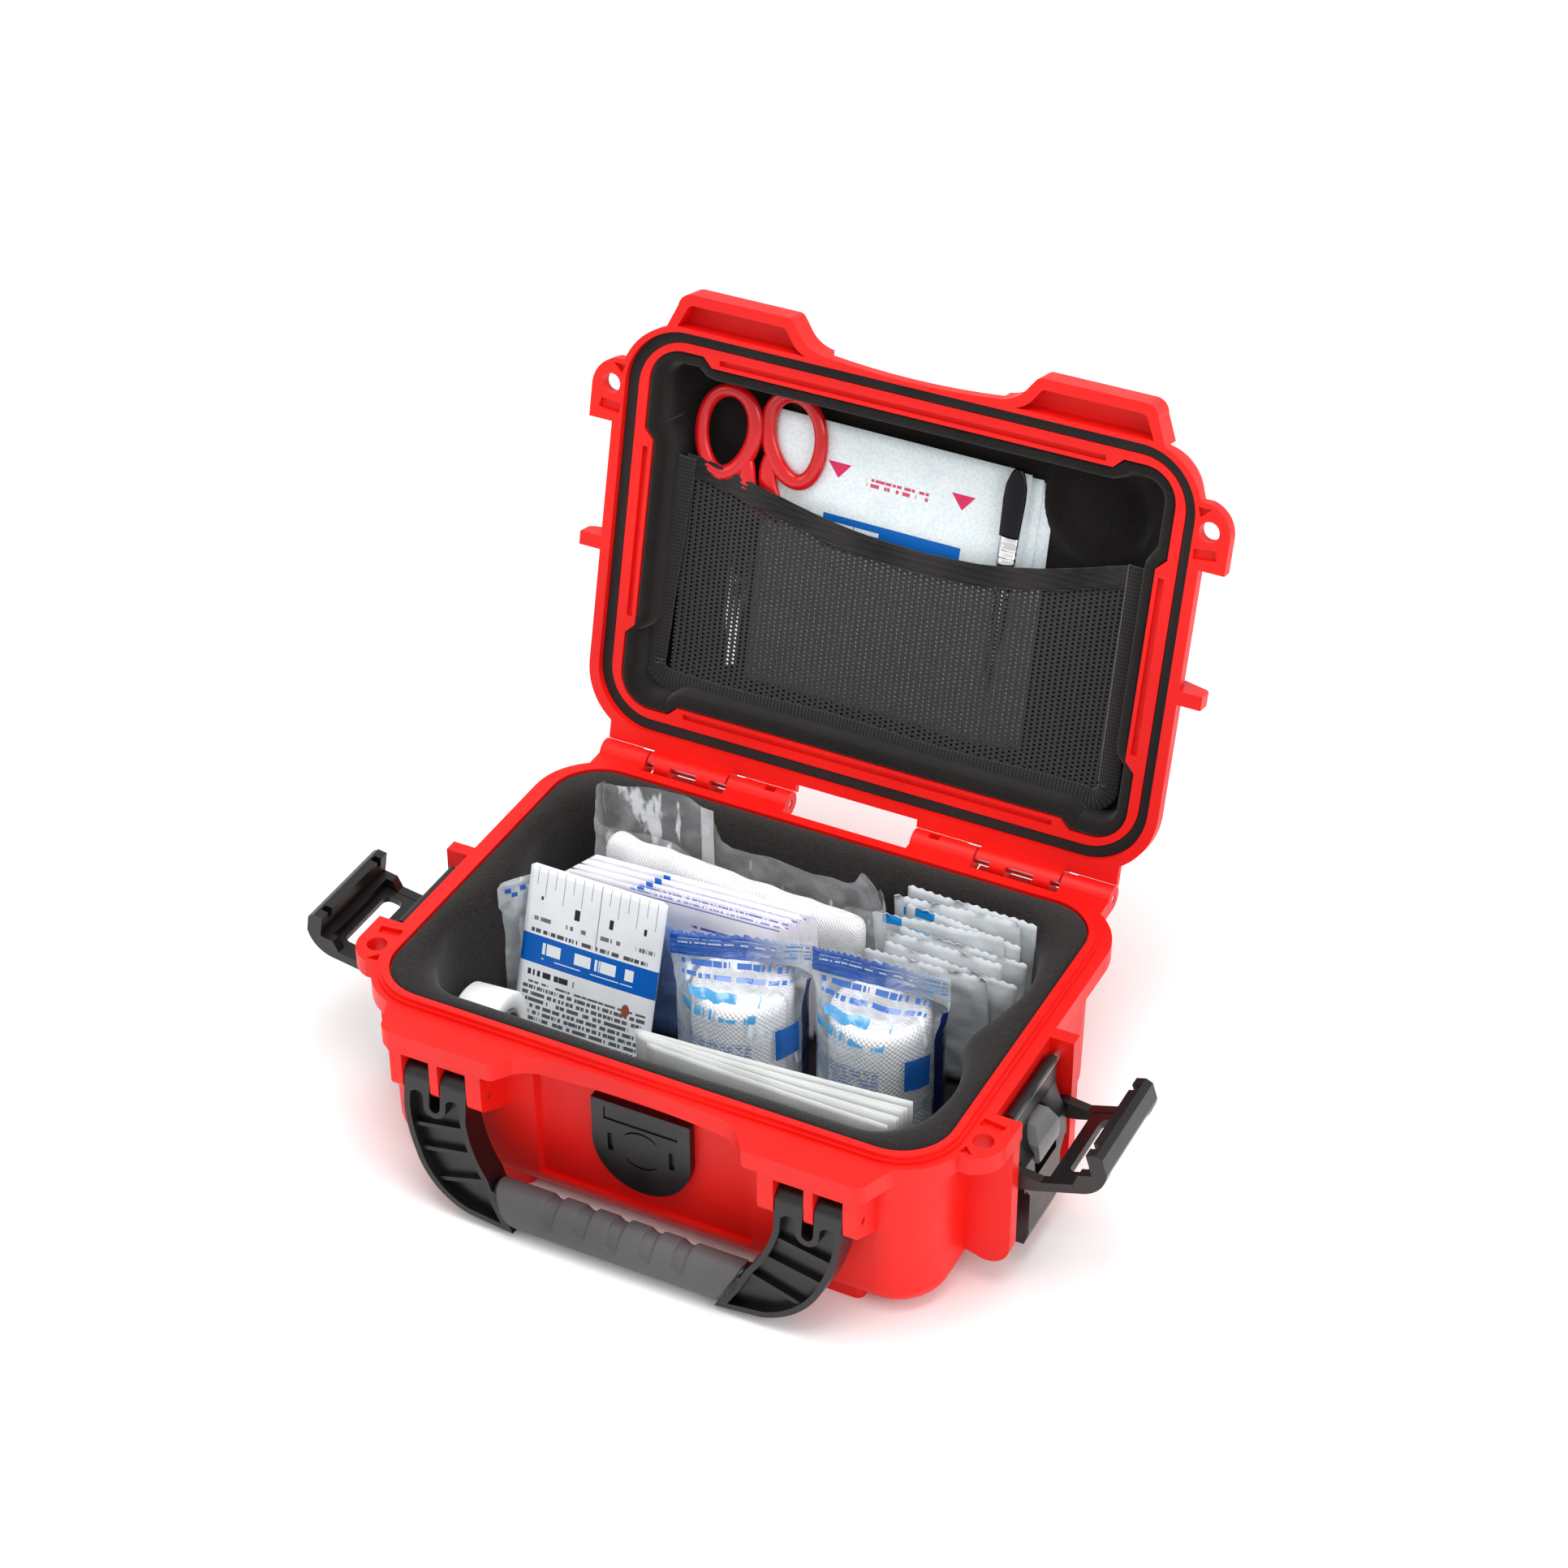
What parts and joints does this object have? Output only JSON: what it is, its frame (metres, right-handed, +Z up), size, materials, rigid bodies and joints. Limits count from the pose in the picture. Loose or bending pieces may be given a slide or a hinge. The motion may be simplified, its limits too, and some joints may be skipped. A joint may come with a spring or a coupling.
{
  "type": "first aid kit",
  "caption": "Small hard-shell first aid kit, open: gasketed lid on hinge pins, claw latches, folding handle, foam tray packed with dressings and a mesh lid pocket.",
  "frame": {"origin": "centre of the base's footprint, at ground level", "axes": "+X to the right-hand latch, +Y towards the hinge, +Z up; the lid is open at rest"},
  "size_m": [0.3281, 0.2699, 0.2575],
  "materials": {
    "red_shell": "satin moulded plastic",
    "black_plastic": "satin",
    "grey_rubber": "matte, soft",
    "black_rubber": "matte",
    "steel": "brushed",
    "black_fabric": "matte foam and mesh",
    "grey_plastic": "fine grain",
    "scissors_red": "satin",
    "white_paper": "matte paper",
    "white_card": "smooth card",
    "white_gauze": "soft gauze",
    "clear_film": "clear plastic film",
    "blue_pack": "matte"
  },
  "bodies": {
    "base": {"base_shell": "red_shell", "base_foam_liner": "black_fabric", "valve_cover": "black_plastic", "valve_body": "steel", "valve_membrane": "black_rubber", "hinge_pin_left": "steel", "hinge_pin_right": "steel", "handle_pin_left": "steel", "handle_pin_right": "steel", "lever_pin_left": "steel", "lever_pin_right": "steel"},
    "lid": {"lid_shell": "red_shell", "lid_gasket": "black_rubber", "lid_liner": "grey_plastic", "pocket_mesh": "black_fabric", "pocket_band": "black_fabric", "pocket_binding": "black_fabric", "scissors_handle_left": "scissors_red", "scissors_blade_left": "steel", "scissors_rivet": "steel"},
    "handle": {"handle_frame": "black_plastic", "handle_grip": "grey_rubber"},
    "latch_lever_left": {"latch_lever_left": "black_plastic", "claw_pin_left": "steel"},
    "latch_claw_left": {"latch_claw_left": "black_plastic"},
    "latch_lock_left": {"latch_slide_left": "grey_rubber"},
    "latch_lever_right": {"latch_lever_right": "black_plastic", "claw_pin_right": "steel"},
    "latch_claw_right": {"latch_claw_right": "black_plastic"},
    "latch_lock_right": {"latch_slide_right": "grey_rubber"},
    "scissors_right": {"scissors_handle_right": "scissors_red", "scissors_blade_right": "steel"},
    "tweezers": {"tweezers": "steel"},
    "dressing_pouches": {"dressing_pouch_1": "white_paper", "dressing_pouch_2": "white_paper", "dressing_pouch_3": "white_paper", "dressing_pouch_4": "white_paper"},
    "card": {"id_card": "white_card"},
    "tape": {"tape_roll": "white_gauze", "tape_core": "grey_plastic"},
    "gauze_left": {"gauze_roll_left": "white_gauze", "gauze_wrapper_left": "clear_film"},
    "gauze_right": {"gauze_roll_right": "white_gauze", "gauze_wrapper_right": "clear_film"},
    "bandage_strips": {"bandage_strips": "white_paper"},
    "bandage_bag": {"bandage_bag": "clear_film", "padded_bandage": "white_gauze"},
    "foil_packs": {"foil_packs": "white_paper"},
    "paper_packs": {"paper_packs": "white_paper"},
    "blue_pack": {"blue_pack": "blue_pack"},
    "small_bag": {"small_bag": "clear_film"}
  },
  "joints": [
    {"name": "lid_hinge", "type": "hinge", "parent": "base", "child": "lid", "pos_m": [0, 0.0934, 0.0734], "axis": [-1, 0, 0], "range_deg": [-104.3, 6]},
    {"name": "handle_hinge", "type": "hinge", "parent": "base", "child": "handle", "pos_m": [0, -0.0895, 0.054], "axis": [-1, 0, 0], "range_deg": [-7, 85]},
    {"name": "latch_lever_left_hinge", "type": "hinge", "parent": "base", "child": "latch_lever_left", "pos_m": [-0.1244, -0.017, 0.0686], "axis": [0, 1, 0], "range_deg": [0, 80]},
    {"name": "latch_claw_left_hinge", "type": "hinge", "parent": "latch_lever_left", "child": "latch_claw_left", "pos_m": [-0.126, -0.017, 0.0465], "axis": [0, -1, 0], "range_deg": [-81, 20]},
    {"name": "latch_lock_left_slide", "type": "slide", "parent": "latch_lever_left", "child": "latch_lock_left", "axis": [0, 0, -1], "range_m": [0, 0.003]},
    {"name": "latch_lever_right_hinge", "type": "hinge", "parent": "base", "child": "latch_lever_right", "pos_m": [0.1244, -0.017, 0.0686], "axis": [0, -1, 0], "range_deg": [0, 80]},
    {"name": "latch_claw_right_hinge", "type": "hinge", "parent": "latch_lever_right", "child": "latch_claw_right", "pos_m": [0.126, -0.017, 0.0465], "axis": [0, 1, 0], "range_deg": [-72, 20]},
    {"name": "latch_lock_right_slide", "type": "slide", "parent": "latch_lever_right", "child": "latch_lock_right", "axis": [0, 0, -1], "range_m": [0, 0.003]},
    {"name": "scissors_hinge", "type": "hinge", "parent": "lid", "child": "scissors_right", "pos_m": [-0.069, 0.13345, 0.14307], "axis": [0, 0.969, -0.247], "range_deg": [0, 25]},
    {"name": "tweezers_lift", "type": "slide", "parent": "lid", "child": "tweezers", "axis": [0, 0.247, 0.969], "range_m": [0, 0.009]},
    {"name": "pouches_lift", "type": "slide", "parent": "lid", "child": "dressing_pouches", "axis": [0, 0.247, 0.969], "range_m": [0, 0.014]},
    {"name": "card_lift", "type": "slide", "parent": "base", "child": "card", "axis": [0, 0, 1], "range_m": [0, 0.06]},
    {"name": "tape_lift", "type": "slide", "parent": "base", "child": "tape", "axis": [0, 0, 1], "range_m": [0, 0.06]},
    {"name": "gauze_left_lift", "type": "slide", "parent": "base", "child": "gauze_left", "axis": [0, 0, 1], "range_m": [0, 0.06]},
    {"name": "gauze_right_lift", "type": "slide", "parent": "base", "child": "gauze_right", "axis": [0, 0, 1], "range_m": [0, 0.06]},
    {"name": "bandage_strips_lift", "type": "slide", "parent": "base", "child": "bandage_strips", "axis": [0, 0, 1], "range_m": [0, 0.06]},
    {"name": "bandage_bag_lift", "type": "slide", "parent": "base", "child": "bandage_bag", "axis": [0, 0, 1], "range_m": [0, 0.06]},
    {"name": "foil_packs_lift", "type": "slide", "parent": "base", "child": "foil_packs", "axis": [0, 0, 1], "range_m": [0, 0.06]},
    {"name": "paper_packs_lift", "type": "slide", "parent": "base", "child": "paper_packs", "axis": [0, 0, 1], "range_m": [0, 0.06]},
    {"name": "blue_pack_lift", "type": "slide", "parent": "base", "child": "blue_pack", "axis": [0, 0, 1], "range_m": [0, 0.06]},
    {"name": "small_bag_lift", "type": "slide", "parent": "base", "child": "small_bag", "axis": [0, 0, 1], "range_m": [0, 0.06]}
  ]
}
